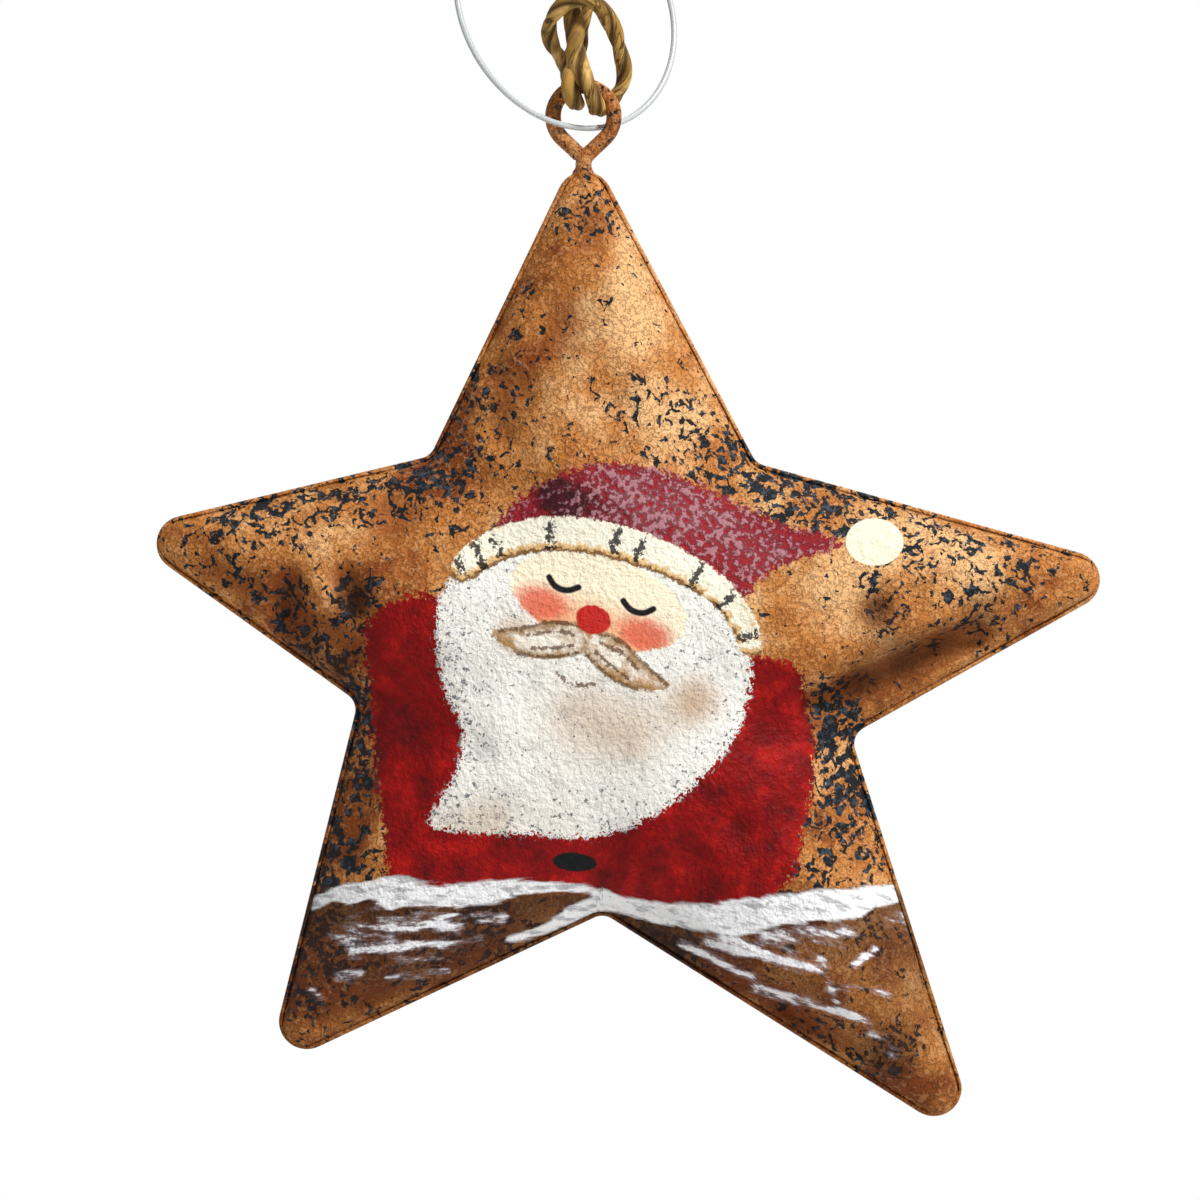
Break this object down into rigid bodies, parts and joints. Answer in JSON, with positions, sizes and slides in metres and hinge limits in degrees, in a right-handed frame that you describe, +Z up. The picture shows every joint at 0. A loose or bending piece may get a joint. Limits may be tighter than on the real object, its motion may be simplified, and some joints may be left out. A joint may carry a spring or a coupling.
{
  "type": "hanging tin star ornament",
  "caption": "Crowned star ornament of two hemmed tinplate half shells with a wire eye, a tied paper cord loop and a clear tag loop.",
  "frame": {"origin": "inside top of the cord loop, where a twig or hook carries the ornament", "axes": "+Z up, painted face towards -Y, +X to the viewer's right"},
  "size_m": [0.0943, 0.0173, 0.1733],
  "materials": {
    "painted_front": "rust-orange and charcoal sponged paint over tinplate, satin, with painted winter figure",
    "painted_back": "rust-orange and charcoal sponged paint over tinplate, satin",
    "painted_wire": "the star's sponged paint over steel wire",
    "painted_solder": "painted solder",
    "paper_cord": "twisted golden-brown paper cord, matt",
    "clear_nylon": "clear extruded nylon, glossy",
    "clear_lock": "clear moulded nylon, glossy"
  },
  "bodies": {
    "hanger": {"cord_knot": "paper_cord", "cord_strands": "paper_cord"},
    "hitch": {"cord_hitch": "paper_cord"},
    "star": {"front_shell": "painted_front", "back_shell": "painted_back", "wire_eye": "painted_wire", "solder_bead": "painted_solder"},
    "tag_loop": {"tag_filament": "clear_nylon", "tag_lock": "clear_lock"}
  },
  "joints": [
    {"name": "cord_swing", "type": "hinge", "parent": "hanger", "child": "hitch", "pos_m": [0, 0, -0.028], "axis": [1, 0, 0], "range_deg": [-75, 75]},
    {"name": "eye_turn", "type": "hinge", "parent": "hitch", "child": "star", "pos_m": [0, 0, -0.058], "axis": [0, 1, 0], "range_deg": [-40, 40]},
    {"name": "tag_swing", "type": "hinge", "parent": "hitch", "child": "tag_loop", "pos_m": [0, 0, -0.05915], "axis": [0.848, 0.5299, 0], "range_deg": [-100, 5]}
  ]
}
